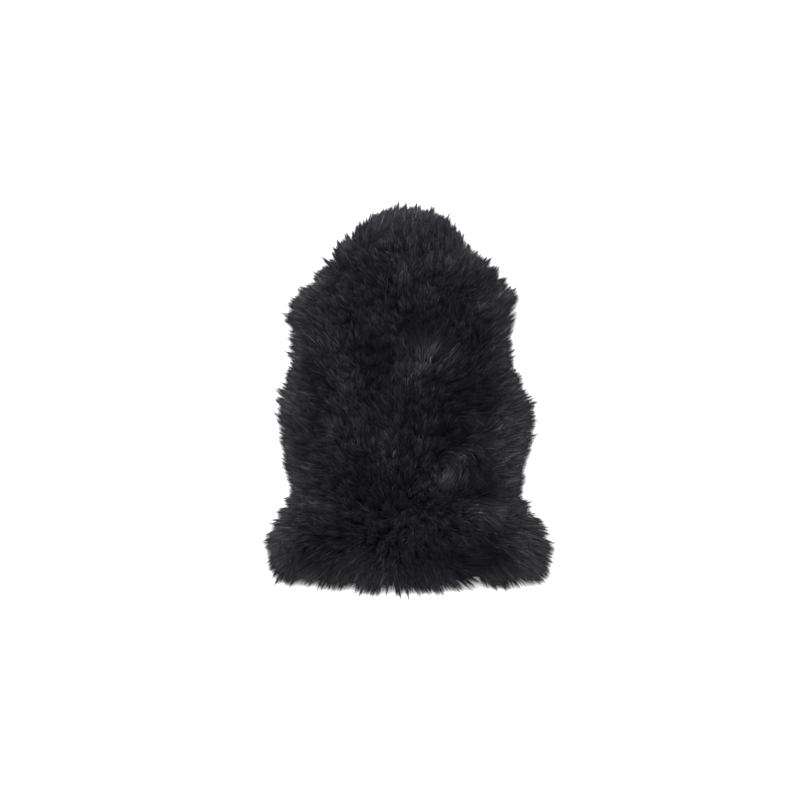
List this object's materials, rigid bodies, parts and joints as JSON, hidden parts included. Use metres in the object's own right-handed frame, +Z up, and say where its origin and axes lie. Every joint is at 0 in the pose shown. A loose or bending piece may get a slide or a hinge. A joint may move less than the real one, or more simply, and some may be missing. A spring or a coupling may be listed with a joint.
{
  "type": "sheepskin shag rug",
  "caption": "Hide-shaped black sheepskin rug with long shaggy wool, lying flat with the wool up and its locks spread over the rim.",
  "frame": {"origin": "on the floor, under the middle of the rug's box", "axes": "+Z up out of the wool, +Y along the rug from the rump to the neck, +X to the right with the neck up"},
  "size_m": [0.62, 0.856, 0.0513],
  "materials": {
    "wool": "long black wool in loose locks, soft low sheen",
    "hide": "dyed suede of the skin side, matt"
  },
  "bodies": {
    "root": {"sheepskin": "wool"}
  },
  "joints": []
}
